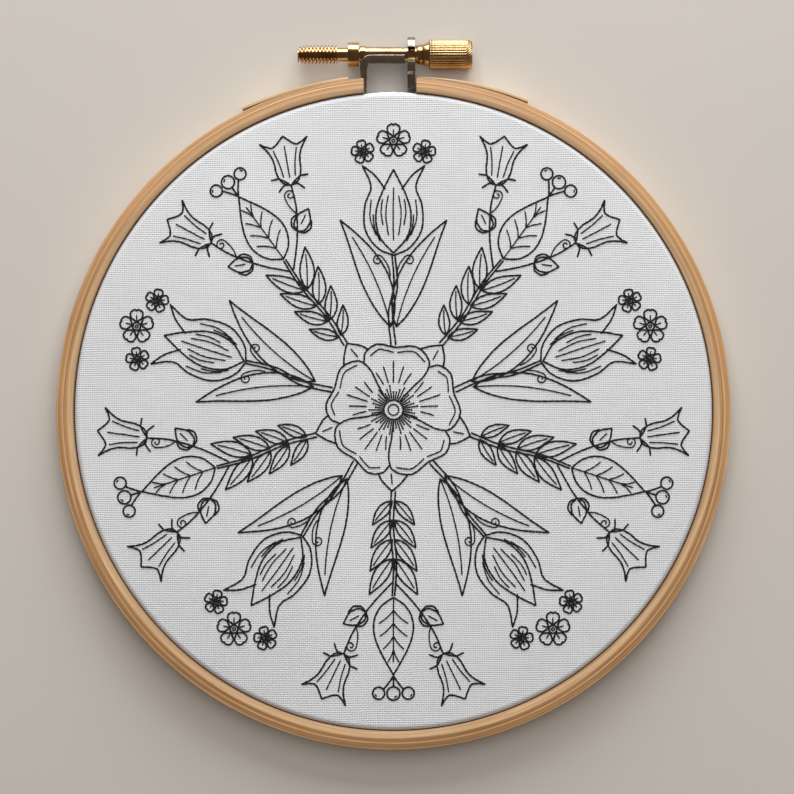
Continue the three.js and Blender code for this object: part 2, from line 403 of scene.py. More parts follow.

# %% [markdown]
# ## Bent wood
# A hoop is bent from a strip of pale hardwood, so its grain runs round the ring: long fine
# streaks, and plies that show on the front as bands. On the rim the bands also carry painted
# shade, at the inner edge and on the outer slope. A plain noise would run straight
# through the ring, so the finish works out where it is on the ring first: the direction
# from the centre as a point on a circle, which has no seam, and the share of the way
# across the rim. The noise is then stretched along the circle. Growth lines and pores are
# the same noise, cut off sharply.

# %% Wood
STREAKS = 5.0
# Ply colours with painted shade in them: the dark first stops paint the shade of the crevice at the
# rim's inner edge, and the brown bands on the outer slope are the plies' colour darkened further by
# painted shade, where that slope faces away from the window.
RIM_PLIES_AND_SHADE = [
    (0.00, (0.32, 0.185, 0.09)),
    (0.045, (0.52, 0.335, 0.185)),
    (0.09, (0.64, 0.435, 0.255)),
    (0.15, (0.61, 0.405, 0.235)),
    (0.22, (0.655, 0.445, 0.265)),
    (0.33, (0.71, 0.495, 0.305)),
    (0.37, (0.69, 0.475, 0.285)),
    (0.41, (0.54, 0.31, 0.145)),
    (0.54, (0.52, 0.285, 0.125)),
    (0.585, (0.53, 0.305, 0.14)),
    (0.62, (0.70, 0.465, 0.27)),
    (0.665, (0.67, 0.43, 0.24)),
    (0.71, (0.53, 0.295, 0.135)),
    (0.89, (0.57, 0.33, 0.155)),
    (0.945, (0.66, 0.43, 0.235)),
    (1.00, (0.70, 0.475, 0.275)),
]


def around_the_ring(finish):
    """Cosine and sine round the ring, the share across the rim, and the height."""
    x, y, z = finish.millimetres(CENTRE)
    radius = (x * x + y * y) ** 0.5
    along_x = x / radius
    along_y = y / radius
    width = RIM_THICKNESS / MM - along_y * (RIM_SHIFT / MM)
    across = (radius - GRIP_RADIUS / MM) / width
    return along_x, along_y, across, z


def wood_finish(name, plies, bright=1.0):
    wood = Finish(name, roughness=0.5, coat_weight=0.06, coat_roughness=0.45)
    along_x, along_y, across, z = around_the_ring(wood)
    turn_x = along_x * STREAKS
    turn_y = along_y * STREAKS

    def grain(along, through, up, **kind):
        """Noise, by how fast it changes along the ring, through the rim and upwards."""
        return wood.noise(turn_x * along, turn_y * along, across * through, z * up, **kind)

    wander = grain(0.5, 2, 0.1, detail=1)
    fibre = grain(1.6, 34, 4.2, detail=3, roughness=0.62)
    streak = grain(1.0, 11, 1.4)
    cloudy = grain(0.45, 1.5, 0.15)
    growth_lines = grain(0.3, 8, 0.4, detail=1).fade(0.50, 0.62)
    pores = grain(2.4, 60, 9, detail=1).fade(0.64, 0.74)
    layer = (across + (wander - 0.5) * 0.05).clamped()
    base = wood.ramp(layer, plies)
    depth = 0.46 + fibre * 0.46 + streak * 0.42 + cloudy * 0.28 - growth_lines * 0.17
    tone = wood.blend(streak.fade(0.35, 0.75), (0.97, 0.90, 0.80), (1.02, 1.02, 1.03))
    colour = wood.blend(1.0, wood.shade(base, depth * bright), tone, "MULTIPLY")
    colour = wood.blend(pores * 0.45, colour, (0.30, 0.17, 0.08))
    wood.relief(fibre * 0.7 + streak * 0.3 - pores * 0.5, 0.10 * MM, 0.55)
    return wood.dress(colour, 0.44 + fibre * 0.16 + pores * 0.15)


RIM_WOOD = wood_finish("bent_wood", RIM_PLIES_AND_SHADE, 0.94)
print("wood with", len(RIM_PLIES_AND_SHADE), "ply stops")

# %% [markdown]
# ## The outer hoop
# Seen close, the rim isn't a plain rounded strip. A band two millimetres wide leans a
# little towards the cloth, and beyond a soft ridge the wood falls away outwards, with two
# thin plies standing proud of it. The section is drawn in a table and spun. The wood is a
# little thinner near the split, where bending has drawn it out. Two cuts and a fill make
# the split, because a spin that stops short would leave slanted ends.

# %% Outer hoop
RIM_SECTION = [
    # (share of the rim's thickness, drop from the front in mm, rounding in mm)
    (0.000, 0.34, 0.26),
    (0.375, 0.00, 0.30),
    (0.585, 0.30, 0.12),
    (0.630, 0.25, 0.06),
    (0.680, 0.34, 0.10),
    (0.925, 0.72, 0.12),
    (0.965, 0.70, 0.06),
    (1.000, 1.06, 0.16),
    (1.000, DEPTH / MM, 0.80),
    (0.000, DEPTH / MM, 0.80),
]
RING_STEPS = 480
SLIMMING = 0.3 * MM
SLIMMING_FADE = 18
SPLIT_LEFT = -9.36 * MM
SPLIT_RIGHT = 7.17 * MM
SPLIT_ROUND = 0.16 * MM


def on_rim(share, drop):
    return CENTRE + Vector((GRIP_RADIUS + share * RIM_THICKNESS, 0, DEPTH - drop * MM))


def slimming(arm):
    """How much thinner the rim is in a direction: most at the split, little 35 degrees on."""
    return SLIMMING * max(0, arm.y / arm.length) ** SLIMMING_FADE


def thin_towards_split(shape):
    """Slides the wood towards -Y by its share of the way through the rim, as the hoop has it."""
    for v in shape.verts:
        arm = (v.co - CENTRE).xy
        share = (arm.length - GRIP_RADIUS) / RIM_THICKNESS
        v.co.xy -= arm.normalized() * slimming(arm) * share
        v.co.y -= RIM_SHIFT * share


def cut_split(shape, left, right):
    for x in (left, right):
        sliced(shape, (x, 0, 0), AXIS_X)
    middles = [(f, f.calc_center_median()) for f in shape.faces]
    gap = [f for f, c in middles if left < c.x < right and c.y > CENTRE.y]
    bmesh.ops.delete(shape, geom=gap, context="FACES")
    rims = [e for e in shape.edges if e.is_boundary]
    bmesh.ops.holes_fill(shape, edges=rims, sides=0)
    rounded(shape, [e for e in rims if e.is_valid], SPLIT_ROUND, 2, "EDGES")


shape = bmesh.new()
section(shape, [(on_rim(share, drop), rounding * MM) for share, drop, rounding in RIM_SECTION], 4)
spun(shape, CENTRE, AXIS_Z, RING_STEPS)
thin_towards_split(shape)
cut_split(shape, SPLIT_LEFT, SPLIT_RIGHT)
piece("hoop_rim", shape, RIM_WOOD, replaces=["outer_hoop"])

# %% [markdown]
# ## The veneer laps
# Thin strips are glued round the outside of the rim, and they spring away from it at their
# free ends. The right one is planed thin where it is glued down. A strip starts as a box
# along X, gets its edges rounded, is cut into short lengths and is then wrapped round the
# hoop point by point.

# %% Laps
LAPS = [
    # (node, angle where it is glued down and angle of its free end in degrees clockwise
    # from the screw, share of its thickness left at the glued end, thickness and lift in mm)
    ("lap_left_far", -15.8, -26.6, 1.0, 0.7, 0.55),
    ("lap_left_near", -7.8, -15.7, 1.0, 0.55, 0.0),
    ("lap_right", 4.2, 23.5, 0.25, 0.65, 0.5),
]
LAP_INSET = 0.6 * MM
LAP_FRONT = 9.05 * MM
LAP_ROUND = 0.12 * MM
LAP_STEPS = 24
PLANED_PART = 0.45
GLUE = 0.02 * MM
VENEER_PLIES = [(0.0, (0.66, 0.46, 0.28)), (0.5, (0.68, 0.48, 0.30)), (1.0, (0.74, 0.55, 0.36))]
VENEER = wood_finish("veneer", VENEER_PLIES)


def lap(fixed, free, glued_share, thickness, lift):
    shape = bmesh.new()
    bmesh.ops.create_cube(shape, size=1.0)
    bmesh.ops.translate(shape, vec=(0.5, 0.5, 0.5), verts=shape.verts)
    size = (1, thickness * MM + CLEARANCE - GLUE, LAP_FRONT - LAP_INSET)
    bmesh.ops.scale(shape, vec=size, verts=shape.verts)
    rounded(shape, shape.edges[:], LAP_ROUND, 2, "EDGES")
    for i in range(1, LAP_STEPS):
        sliced(shape, (i / LAP_STEPS, 0, 0), AXIS_X)
    for v in shape.verts:
        share = v.co.x
        angle = math.radians(fixed + (free - fixed) * share)
        planed = min(1, glued_share + (1 - glued_share) * share / PLANED_PART)
        arm = Vector((math.sin(angle), math.cos(angle)))
        radius = RIM_RADIUS - slimming(arm) + GLUE + lift * MM * share * share + v.co.y * planed
        v.co = CENTRE + Vector((*(arm * radius), LAP_INSET + v.co.z))
        v.co.y -= RIM_SHIFT
    return shape


for node, *row in LAPS:
    piece(node + "_veneer", lap(*row), VENEER, replaces=[node])

# %% [markdown]
# ## The inner hoop
# It hides behind the cloth and shows only from the back, as a paler ring. Its section is a
# rectangle with rounded corners, drawn and spun in the same way as the rim.

# %% Inner hoop
INNER_THICKNESS = 4.8 * MM
INNER_PLIES = [(0.0, (0.68, 0.49, 0.31)), (0.5, (0.72, 0.53, 0.34)), (1.0, (0.68, 0.48, 0.30))]
INNER_SECTION = [
    # (radius, height, rounding)
    (INNER_HIGH.x - INNER_THICKNESS, 0, 0.8 * MM),
    (INNER_HIGH.x, 0, 0.8 * MM),
    (INNER_HIGH.x, INNER_HIGH.z, 1.3 * MM),
    (INNER_HIGH.x - INNER_THICKNESS, INNER_HIGH.z, 1.3 * MM),
]
shape = bmesh.new()
section(shape, [(CENTRE + Vector((r, 0, z)), rounding) for r, z, rounding in INNER_SECTION], 4)
spun(shape, CENTRE, AXIS_Z, RING_STEPS)
INNER_HOOP = piece("inner_ring", shape, wood_finish("pale_wood", INNER_PLIES),
                   replaces=["inner_hoop"])

# %% [markdown]
# ## The cloth's weave
# The cloth is a white plain weave, with 15 yarns to the centimetre. The yarns across the
# hoop stand a little prouder than those down it. Painted shade darkens the hollows between
# the yarns and the short openings that their slubs leave, more in some places than in
# others. As a shape that would cost far too many faces, so it is a colour and a bump.
#
# Each yarn is half a wave across its width, and it rises and sinks along its length in
# step with the yarns that it crosses. The pattern follows a UV map, which holds the cloth
# as it lay before it was turned down over the hoop.

# %% Cloth finish
YARN_PITCH = 0.68
YARN_DRIFT = 2.6
CLOTH_UV = "unrolled"


def cloth_finish():
    cloth = Finish("plain_weave", roughness=0.93, sheen_weight=0.12, sheen_roughness=0.5)
    u, v = cloth.unrolled(CLOTH_UV)
    drift_u = cloth.noise(u, v, 0, scale=0.035) * YARN_DRIFT
    drift_v = cloth.noise(u, v, 7, scale=0.035) * YARN_DRIFT
    across = v / YARN_PITCH + drift_v
    down = u / YARN_PITCH + drift_u
    row = across.whole()
    column = down.whole()
    weft_round = (across.fraction() * math.pi).sine()
    warp_round = (down.fraction() * math.pi).sine()
    weft_wave = ((down + row) * math.pi).sine() * 0.5 + 0.5
    warp_wave = 0.5 - ((across + column) * math.pi).sine() * 0.5
    slub_weft = cloth.noise(u * 0.18, row * 3.7, 0)
    slub_warp = cloth.noise(column * 3.7, v * 0.18, 3)
    weft = weft_round ** 0.7 * (0.55 + weft_wave * 0.45) * (0.72 + slub_weft * 0.56)
    warp = warp_round ** 0.7 * (0.40 + warp_wave * 0.45) * (0.66 + slub_warp * 0.56)
    height = weft.maths("MAXIMUM", warp)
    # Painted shade: the cloth is darker where the weave is low, and in the hollows between the
    # yarns.
    gap_shade = 1 - height.fade(0.10, 0.66)
    between_wefts = 1 - weft_round.fade(0.0, 0.62)
    between_warps = 1 - warp_round.fade(0.0, 0.62)
    uneven = cloth.noise(u, v, 21, scale=0.11, detail=3).fade(0.38, 0.62)
    weft_groove_shade = between_wefts * slub_warp * (0.14 + uneven * 0.36)
    warp_groove_shade = between_warps * slub_weft * (0.20 - uneven * 0.16)
    groove_shade = weft_groove_shade + warp_groove_shade
    cloudy = cloth.noise(u, v, 11, scale=0.02, detail=3)
    tone = cloth.blend(slub_weft, (0.74, 0.765, 0.80), (0.83, 0.845, 0.865))
    colour = cloth.shade(tone, 0.97 + cloudy * 0.12 - gap_shade * 0.42 - groove_shade)
    cloth.relief(height, 0.20 * MM, 0.8)
    return cloth.dress(colour)


print(f"{10 / YARN_PITCH:.0f} yarns to the centimetre")

# %% [markdown]
# ## The cloth
# The cloth lies flat over the inner hoop, rolls over its edge and runs down between the
# hoops. It is one closed sheet: its section goes out along the front, down the skirt, and
# back on the inside, and a spin makes the cup. In the split nothing grips the skirt, so it
# swells out there in soft folds.

# %% Cloth
CLOTH_THICKNESS = 1.0 * MM
CLOTH_ROUND = 1.6 * MM
CLOTH_EDGE = CLOTH_LOW.z
CLOTH_BACK = CLOTH_FRONT - CLOTH_THICKNESS
SKIRT_HEIGHTS = [6 * MM, 3 * MM, CLOTH_EDGE]
FLAT_RADIUS = CLOTH_RADIUS - CLOTH_ROUND
SKIRT_OUTSIDE = CLOTH_RADIUS + 0.12 * MM
SKIRT_INSIDE = CLOTH_RADIUS - CLOTH_THICKNESS
BULGE = 1.0 * MM
BULGE_MARGIN = 0.6 * MM
FOLD_DEPTH = 0.20
FOLD_RATE = 1.9


def cloth_section(shape):
    front = [(r, CLOTH_FRONT) for r in (0, FLAT_RADIUS / 2, SKIRT_OUTSIDE)]
    outside = [(SKIRT_OUTSIDE, z) for z in SKIRT_HEIGHTS]
    inside = [(SKIRT_INSIDE, z) for z in reversed(SKIRT_HEIGHTS)]
    back = [(r, CLOTH_BACK) for r in (SKIRT_INSIDE, FLAT_RADIUS / 2, 0)]
    rows = [*front, *outside, *inside, *back]
    corners = wire(shape, [CENTRE + Vector((r, 0, z)) for r, z in rows], closed=False)
    rounded(shape, [corners[len(front) - 1]], SKIRT_OUTSIDE - FLAT_RADIUS, 10)
    rounded(shape, [corners[-len(back)]], CLOTH_ROUND - CLOTH_THICKNESS, 5)


def swell_in_split(shape):
    middle = (SPLIT_LEFT + SPLIT_RIGHT) / 2
    half = (SPLIT_RIGHT - SPLIT_LEFT) / 2
    for v in shape.verts:
        arm = v.co - CENTRE
        if arm.y < 0 or arm.xy.length < FLAT_RADIUS:
            continue
        across = (arm.x - middle) / (half - BULGE_MARGIN)
        if abs(across) < 1:
            window = math.cos(across * math.pi / 2) ** 0.6
            height = math.sin(math.pi * min(1, max(0, v.co.z / CLOTH_FRONT)) ** 0.8)
            fold = 1 - FOLD_DEPTH + FOLD_DEPTH * math.cos(arm.x / MM * FOLD_RATE + 0.6)
            v.co.xy += arm.xy.normalized() * BULGE * window * height * fold


def unroll(mesh):
    """Lays the cloth out flat as a UV map in metres: the skirt goes on outwards."""
    layer = mesh.uv_layers.new(name=CLOTH_UV)
    turn = CLOTH_FRONT - CLOTH_ROUND
    for loop in mesh.loops:
        arm = mesh.vertices[loop.vertex_index].co - CENTRE
        out = arm.xy.length
        rolled = math.atan2(max(out - FLAT_RADIUS, 0), max(arm.z - turn, 0))
        skirt = max(turn - arm.z, 0)
        reach = min(out, FLAT_RADIUS) + CLOTH_ROUND * rolled + skirt
        layer.data[loop.index].uv = arm.xy * (reach / out if out > TOUCHING else 1)


shape = bmesh.new()
cloth_section(shape)
spun(shape, CENTRE, AXIS_Z, RING_STEPS)
swell_in_split(shape)
CLOTH = piece("stretched_cloth", shape, cloth_finish(), replaces=["cloth"])
unroll(CLOTH.data)
FLAT_CUT = FLAT_RADIUS + CLOTH_ROUND * math.pi / 2 + CLOTH_FRONT - CLOTH_ROUND - CLOTH_EDGE
print(f"the cloth was cut as a circle {2 * FLAT_CUT / MM:.0f} mm wide")

# %% [markdown]
# ## Drawing with curves
# The stitched design is a generic folk rosette: a wild rose, tulips, harebells, leaves and
# berries, set round the middle in five equal parts. A line is an array of complex numbers
# in millimetres, because a turn or a mirror is then one multiplication. Each motif starts
# at 0 and grows along +X.

# %% Curves
OUTLINE = 0.62
FINE = 0.48
BEND_POINTS = 16
CIRCLE_POINTS = 49


def evenly(line, step=0.1):
    """The same line, with its points a fixed way apart."""
    along = np.concatenate([[0], np.cumsum(np.abs(np.diff(line)))])
    at = np.linspace(0, along[-1], max(3, int(round(along[-1] / step)) + 1))
    return np.interp(at, along, line.real) + 1j * np.interp(at, along, line.imag)


def curve(*points):
    """A smooth line through points."""
    p = np.array(points, complex)
    p = np.concatenate([[2 * p[0] - p[1]], p, [2 * p[-1] - p[-2]]])
    t = np.linspace(0, 1, BEND_POINTS, endpoint=False)
    bends = [
        b + 0.5 * ((c - a) * t + (2 * a - 5 * b + 4 * c - d) * t**2 + (3 * b - a - 3 * c + d) * t**3)
        for a, b, c, d in zip(p, p[1:], p[2:], p[3:])
    ]
    return np.concatenate([*bends, [p[-2]]])


def outline(*points):
    return (OUTLINE, curve(*points))


def vein(*points):
    return (FINE, curve(*points))


def placed(lines, at=0, turn=0.0, size=1.0):
    spin = size * cmath.exp(1j * math.radians(turn))
    return [(width, line * spin + at) for width, line in lines]


def both(lines):
    """The lines and their mirror image."""
    return [*lines, *((width, np.conj(line)) for width, line in lines)]


def five_times(lines, start=0):
    """The lines at five equal steps round the middle."""
    return [row for k in range(5) for row in placed(lines, 0, start + 72 * k)]


def circle(radius, width=OUTLINE):
    return (width, radius * np.exp(1j * np.linspace(0, math.tau, CIRCLE_POINTS)))


print("curve tools are ready")

# %% [markdown]
# ## The motifs
# A leaf, a stem and a tendril are formulas, because a few numbers then make them in any
# size. A leaf's edges swell away from its midrib and meet it again at the tip.

# %% Leaf, stem, tendril and berry
def across(line):
    """Unit steps to the left of a line."""
    return 1j * np.exp(1j * np.angle(np.gradient(line)))


def leaf(length, width, bend=0.0, veins=0, widest=0.42):
    u = np.linspace(0, 1, 13)
    rib = length * u + 1j * bend * u**2
    left = across(rib)
    swell = width / 2 * np.sin(math.pi * u ** (math.log(0.5) / math.log(widest)))
    lines = [outline(*(rib + left * swell)), outline(*(rib - left * swell)), vein(*rib[:11])]
    for i in range(2, 2 + 2 * veins, 2):
        for side in (1, -1):
            tip = rib[i + 2] + 0.72 * side * left[i + 2] * swell[i + 2]
            lines.append(vein(rib[i], (rib[i] + tip) / 2 - 0.06j * side * (tip - rib[i]), tip))
    return lines


def stem(width, *points):
    line = curve(*points)
    side = across(line) * np.linspace(1, 0.6, len(line)) * width / 2
    return [(OUTLINE, line + side), (OUTLINE, line - side)]


def tendril(reach, turns=1.35):
    u = np.linspace(0, 1, 90)
    curl = np.exp(1j * math.pi * (1.5 + 2 * turns * u))
    spiral = reach * (1 + 0.3j + 0.3 * (0.26 + 0.74 * (1 - u) ** 1.1) * curl)
    lead = curve(0, (0.5 - 0.1j) * reach, spiral[0])
    return [(FINE, np.concatenate([lead[:-1], spiral]))]


def berry(radius):
    return [circle(radius), vein((0.35 + 0.5j) * radius, (0.62 + 0.15j) * radius)]


print("a leaf with eight veins has", len(leaf(24, 12.5, veins=4)), "lines")

# %% [markdown]
# ## Flowers
# A tulip, a harebell and a bud are drawn, half of each through a few given points, and
# mirrored. A round flower is one petal, set five times round its middle. The rose's petals
# lean over their neighbours, so its petal isn't mirrored, and its points are given by
# distance and angle.

# %% Flowers
def tulip():
    half = [
        outline(0, 2.0 + 4.6j, 7.6 + 8.4j, 15 + 8.4j, 20.4 + 6.6j, 26.5 + 9.2j),
        outline(26.5 + 9.2j, 23.8 + 5.6j, 19.6 + 2.5j),
        outline(0.6, 5.6 + 4.2j, 12.5 + 5.2j, 19 + 3.2j, 25.4),
        vein(6.0 + 5.2j, 11 + 6.9j, 16.4 + 6.6j),
        vein(4.2 + 4.0j, 8 + 5.6j, 12 + 6.0j),
        vein(6 + 1.5j, 12 + 2.3j, 17.5 + 1.6j),
        vein(9 + 3.1j, 13 + 3.7j, 16.5 + 3.2j),
    ]
    return [*both(half), vein(4.5, 12 + 0.1j, 20)]


def harebell():
    half = [
        outline(0, 1.0 + 2.6j, 4.4 + 4.2j, 8.8 + 4.5j, 12.2 + 5.8j, 15.4 + 8.2j),
        outline(15.4 + 8.2j, 13.6 + 5.2j, 13.9 + 3.2j, 16.9),
        outline(0, 0.2 + 2.2j, -1.8 + 4.4j),
        outline(0.4 + 0.6j, 2.6 + 3.6j, 2.6 + 6.4j),
        vein(3.0 + 2.0j, 7.6 + 2.7j, 12.4 + 4.0j),
    ]
    return [*both(half), vein(2.6, 8.0, 13.4)]


def bud():
    half = [outline(0, 1.6 + 2.3j, 5.4 + 2.6j, 9.2), outline(0, 0.6 + 2.6j, 3.2 + 3.9j, 5.6 + 2.9j)]
    return [*both(half), vein(3.0, 6.6)]


def small_flower(radius):
    edge = [0.26, 0.52 + 0.33j, 0.86 + 0.36j, 1.02 + 0.1j, 0.94]
    petal = [*both([outline(*(radius * np.array(edge)))]), vein(0.36 * radius, 0.66 * radius)]
    return [circle(0.24 * radius), circle(0.1 * radius, width=FINE), *five_times(petal)]


STAMENS = 40


def polar(*places):
    """Points given as (distance, degrees)."""
    return [out * cmath.exp(1j * math.radians(angle)) for out, angle in places]


def rose_petal():
    edge = polar((0.17, -36), (0.45, -40), (0.74, -42), (0.95, -36), (1.05, -20), (0.98, -2),
                 (1.06, 14), (1.0, 26), (0.88, 31.5))
    lines = [
        outline(*edge),
        vein(*polar((0.90, -33), (0.965, -19), (0.90, -4))),
        vein(*polar((0.90, 0), (0.975, 13), (0.92, 23))),
        outline(*polar((1.03, 23), (1.13, 27), (1.27, 35))),
        outline(*polar((1.27, 35), (1.15, 42), (1.045, 48))),
        vein(*polar((1.0, 34), (1.08, 34.5), (1.16, 35))),
    ]
    for angle in (-26, -13, 0, 13, 25):
        far = 0.76 - abs(angle) * 0.005
        lines.append(vein(*polar((0.43, angle * 0.85), (0.58, angle * 0.95), (far, angle))))
    return lines


def wild_rose(radius):
    lines = [circle(0.155), circle(0.085, width=FINE), *five_times(rose_petal())]
    for k in range(STAMENS):
        ray = cmath.exp(1j * math.radians(360 / STAMENS * k))
        reach = (0.26, 0.36, 0.31)[k % 3]
        lines.append((FINE, np.array([0.17 * ray, reach * ray])))
        lines.append((OUTLINE, np.array([(reach + 0.01) * ray, (reach + 0.03) * ray])))
    return [(width, evenly(line * radius)) for width, line in lines]


print("the rose has", len(wild_rose(20)), "lines")

# %% [markdown]
# ## The rosette
# Two sprigs, one with a tulip and one with harebells, alternate round the rose. Each is
# drawn once, pointing along +X, and five copies of it are turned into place.

# %% Design
def tulip_sprig():
    lines = stem(1.5, 20.2, 30 + 0.9j, 39 - 0.7j, 48.5)
    lines += placed(tulip(), 48.5, 0, 1.06)
    lines += both(placed(leaf(36, 8.6, 8.5), 26.0 + 0.9j, 12))
    lines += both(placed(tendril(6.0), 42 + 1.0j, 22))
    lines += placed(small_flower(5.2), 84.5)
    lines += both(placed(small_flower(3.6), 81.0 + 9.6j, 12))
    return lines


def bell_sprig():
    lines = stem(1.3, 25.4, 36 - 0.6j, 48 + 0.5j, 58)
    for k, at in enumerate((28.5, 34.5, 40.5, 46.5)):
        lines += both(placed(leaf(9.5 + 1.2 * k, 3.5 + 0.35 * k, -1.2), at + 0.4j, 47 - 3 * k))
    arch = [outline(54 + 0.6j, 61 + 7.0j, 69 + 12.5j, 76.0 + 15.5j)]
    arch += placed(harebell(), 76.0 + 15.5j, 26, 0.92)
    arch += placed(bud(), 63.0 + 8.6j, 62, 0.86)
    arch += placed(tendril(6.0), 67.5 + 11.7j, -2)
    arch += [outline(82.8, 85.5 + 1.8j, 87 + 3.2j), *placed(berry(1.9), 88.2 + 4.6j, 20)]
    lines += both(arch)
    lines += placed(leaf(24, 12.5, veins=4, widest=0.38), 58.5)
    lines += [outline(82.6, 84.4, 86.2), *placed(berry(2.1), 88.3)]
    return lines


MOTIFS = {
    "rose": placed(wild_rose(20), 0, 90),
    "tulips": five_times(tulip_sprig(), 90),
    "harebells": five_times(bell_sprig(), 54),
}
for name, lines in MOTIFS.items():
    length = sum(np.abs(np.diff(line)).sum() for _, line in lines)
    reach = max(np.abs(line).max() for _, line in lines)
    print(f"{name}: {len(lines)} lines, {length / 1000:.1f} m, out to {reach:.0f} mm")

# %% [markdown]
# ## Thread
# The lines are worked in outline stitch with black cotton. A stitch is a short plump cord
# whose ends dip into the cloth, and each one starts under the end of the last. One small
# ball, stretched and bent, is the pattern for all of them. It has its own UV map, so that
# the twist of the thread can follow every stitch.

# %% Thread finish
TWIST_UV = "twist"


def thread_finish():
    thread = Finish("black_cotton", roughness=0.7)
    u, v, _ = thread.parts(thread.node("ShaderNodeUVMap", uv_map=TWIST_UV))
    twist = ((u * 2 + v * 5) * math.tau).sine() * 0.5 + 0.5
    # The colour is a little darker where the twist sinks: painted shade in its grooves, in step with
    # the bump.
    colour = thread.blend(twist, (0.004, 0.004, 0.005), (0.014, 0.0135, 0.014))
    thread.relief(twist, 0.05 * MM, 0.8)
    return thread.dress(colour)


THREAD = thread_finish()
STITCH_SINK = 0.30
Z_TO_X = Matrix.Rotation(math.pi / 2, 3, "Y")


def stitch_pattern(name, around, along):
    """A ball with a twist map, 1 long on X, blunt like a cord and sunk at its ends."""
    shape = bmesh.new()
    shape.loops.layers.uv.new(TWIST_UV)
    bmesh.ops.create_uvsphere(shape, u_segments=around, v_segments=along, radius=0.5,
                              calc_uvs=True)
    bmesh.ops.rotate(shape, cent=(0, 0, 0), matrix=Z_TO_X, verts=shape.verts)
    for v in shape.verts:
        out = abs(v.co.x) * 2
        fuller = (1 - out**5) ** 0.5 / (1 - out**2) ** 0.5 if out < 0.999 else 1
        v.co.y *= fuller
        v.co.z = v.co.z * fuller - STITCH_SINK * out**3
    mesh = bpy.data.meshes.new(name)
    shape.to_mesh(mesh)
    shape.free()
    return mesh


FRONT_STITCH = stitch_pattern("front_stitch", 6, 6)
BACK_STITCH = stitch_pattern("back_stitch", 4, 4)
print("a stitch has", sum(len(f.vertices) - 2 for f in FRONT_STITCH.polygons), "triangles")

# %% [markdown]
# ## Stitches
# Stitches follow a line at equal steps, shorter where it bends. The hand shows in them: no
# two have quite the same length, slant or place. The random numbers are seeded, so that
# the same stitches come back each time. Thousands of objects would be slow to handle, so
# each motif's stitches are joined into one piece. Sizes here are in millimetres.

# %% Stitches
THREAD_HEIGHT = 0.42
REVERSE_HEIGHT = 0.32
REVERSE_WIDTH = 0.8
LONGEST = 2.0
SHORTEST = 0.45
SHORTEST_LAST = 0.4
SHARPEST_TURN = 0.40
OVERLAP = 1.26
END_LENGTH = 0.08
SLANT = 0.02
STRAY = 0.015
UNEVEN = 0.06
STITCH_SHARP = math.radians(80)
hand = random.Random(11)


def stitch_ends(line):
    """Where the needle goes down: at the longest stitch, or sooner where the line bends."""
    line = evenly(line)
    heading = np.unwrap(np.angle(np.diff(line)))
    step = abs(line[1] - line[0])
    ends = [0]
    for i in range(1, len(heading)):
        length = (i - ends[-1]) * step
        turn = abs(heading[i] - heading[ends[-1]])
        if length >= LONGEST or (turn > SHARPEST_TURN and length > SHORTEST):
            ends.append(i)
    if len(ends) > 1 and (len(line) - 1 - ends[-1]) * step < SHORTEST_LAST:
        ends.pop()
    return line[[*ends, len(line) - 1]]


def stitched(name, lines, pattern, height, side, width_share=1.0):
    """Joins a copy of the pattern for each stitch. Side is a height, and 1 for up or -1."""
    shape = bmesh.new()
    for width, line in lines:
        ends = stitch_ends(line)
        for start, stop in zip(ends, ends[1:]):
            way = (stop - start) * cmath.exp(1j * hand.gauss(0, SLANT))
            middle = (start + stop) / 2 + complex(hand.gauss(0, STRAY), hand.gauss(0, STRAY))
            thickness = width * width_share * hand.uniform(1 - UNEVEN, 1 + UNEVEN)
            size = (abs(way) * OVERLAP + END_LENGTH, thickness, height)
            place = CENTRE + Vector((middle.real, middle.imag, 0)) * MM + AXIS_Z * side[0]
            turn = Matrix.Rotation(cmath.phase(way), 4, "Z")
            flip = Matrix.Scale(side[1], 4, AXIS_Z)
            scale = Matrix.Diagonal((*(s * MM for s in size), 1))
            copy = pattern.copy()
            copy.transform(Matrix.Translation(place) @ turn @ flip @ scale)
            shape.from_mesh(copy)
            bpy.data.meshes.remove(copy)
    return piece(name, shape, THREAD, sharp=STITCH_SHARP)


FRONT_SIDE = (CLOTH_FRONT + 0.10 * MM, 1)
BACK_SIDE = (CLOTH_BACK - 0.06 * MM, -1)
for name, lines in MOTIFS.items():
    stitched(f"{name}_stitches", lines, FRONT_STITCH, THREAD_HEIGHT, FRONT_SIDE)
all_lines = [row for lines in MOTIFS.values() for row in lines]
stitched("reverse_stitches", all_lines, BACK_STITCH, REVERSE_HEIGHT, BACK_SIDE,
                     REVERSE_WIDTH)

# %% [markdown]
# ## Brass
# The screw is turned brass under a thin clear lacquer, gone a little brown: fine rings from
# the lathe, clouds of tarnish, and a softer shine on the head. There the knurling wheel has
# also left faint marks across the ridges, at equal steps. Marks so small are a bump, which
# is measured from the screw's own line, so that they go round it.

# %% Brass finish
KNURL_START = 11.6
CROSS_MARKS = 0.93


def brass_finish():
    brass = Finish("turned_brass", metallic=1.0, coat_weight=0.6, coat_roughness=0.2)
    x, y, z = brass.millimetres(SCREW_LINE)
    radius = (y * y + z * z) ** 0.5
    rings = brass.noise(x * 9, radius * 3, 0, detail=2, roughness=0.6)
    tarnish = brass.noise(x * 0.35, y * 0.35, z * 0.35, detail=3)
    base = brass.blend(tarnish.fade(0.35, 0.75), (0.64, 0.43, 0.20), (0.48, 0.285, 0.11))
    on_head = x > KNURL_START
    marks = (x * (math.tau / CROSS_MARKS)).sine() * 0.5 * on_head
    brass.relief(rings * 0.12 + marks, 0.05 * MM)
    return brass.dress(base, 0.14 + rings * 0.06 + tarnish * 0.05 + on_head * 0.12)


BRASS = brass_finish()
print("brass is ready")

